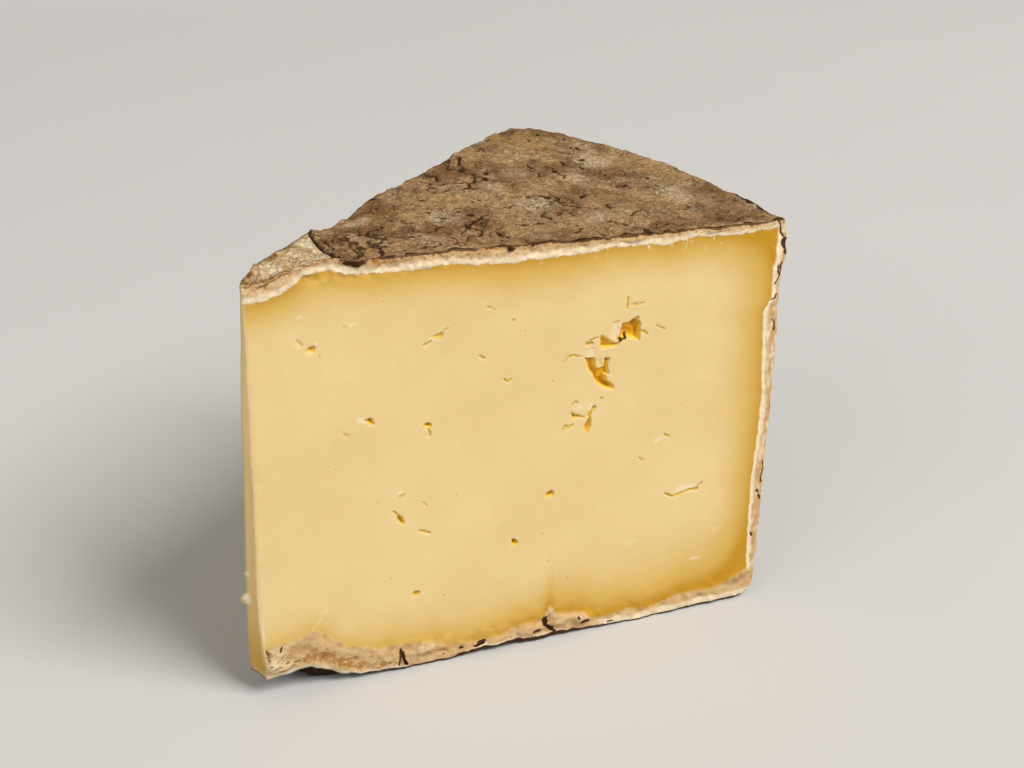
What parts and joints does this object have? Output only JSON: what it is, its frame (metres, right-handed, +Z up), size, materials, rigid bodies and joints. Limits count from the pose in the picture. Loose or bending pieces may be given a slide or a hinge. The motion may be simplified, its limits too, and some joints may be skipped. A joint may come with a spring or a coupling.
{
  "type": "single gloucester cheese",
  "caption": "Wedge of pressed hard cheese cut from a tall wheel, with a natural rind on its top, rim and underside and two plain cut faces with small openings.",
  "frame": {"origin": "middle of the underside of the wedge's box, on the plane that it rests on", "axes": "+X along the front cut from the thin end to the rim, +Y from the front cut into the wedge, +Z up with the rind on top"},
  "size_m": [0.1244, 0.0872, 0.1022],
  "materials": {
    "cheese": "waxy pale yellow paste, darker amber beside the rind; dry grey-brown wrinkled rind outside, with a cream layer under it"
  },
  "bodies": {
    "root": {"cheese_wedge": "cheese"}
  },
  "joints": []
}
